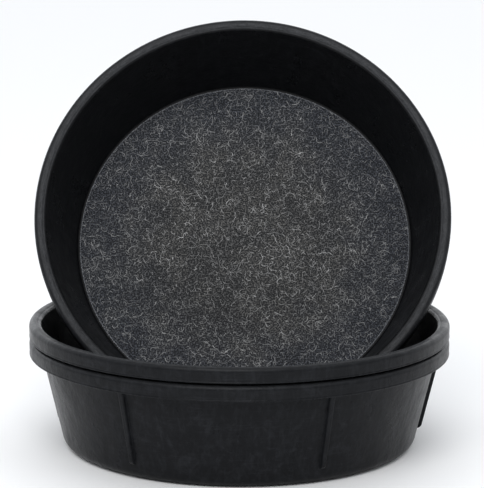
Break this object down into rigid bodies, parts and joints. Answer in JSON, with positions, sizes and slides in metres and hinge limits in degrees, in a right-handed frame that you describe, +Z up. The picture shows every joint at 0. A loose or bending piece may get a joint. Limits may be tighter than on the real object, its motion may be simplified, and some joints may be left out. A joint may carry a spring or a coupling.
{
  "type": "stacked rubber feed pans",
  "caption": "Three round tapered rubber pans with rolled rims and ribbed walls: two nested, one standing tilted in them.",
  "frame": {"origin": "centre of the bottom pan's flat underside", "axes": "+Z up along the axis of the two nested pans, -Y the way the tilted pan's mouth faces, +X to its right as seen from the front"},
  "size_m": [0.416, 0.4132, 0.4032],
  "materials": {
    "bottom_pan_rubber": "black moulded rubber, dull satin wall with faint streaks, matt rim",
    "middle_pan_rubber": "black moulded rubber, dull satin wall with faint streaks, matt rim",
    "top_pan_rubber": "black moulded rubber, dull wall, dark grey floor dusted with fine pale fibres"
  },
  "bodies": {
    "bottom_pan": {"bottom_pan": "bottom_pan_rubber"},
    "middle_pan": {"middle_pan": "middle_pan_rubber"},
    "top_pan": {"top_pan": "top_pan_rubber"}
  },
  "joints": [
    {"name": "middle_pan_lift", "type": "slide", "parent": "bottom_pan", "child": "middle_pan", "axis": [0, 0, 1], "range_m": [0, 0.12]},
    {"name": "top_pan_lift", "type": "slide", "parent": "middle_pan", "child": "top_pan", "axis": [0, 0, 1], "range_m": [0, 0.14]}
  ]
}
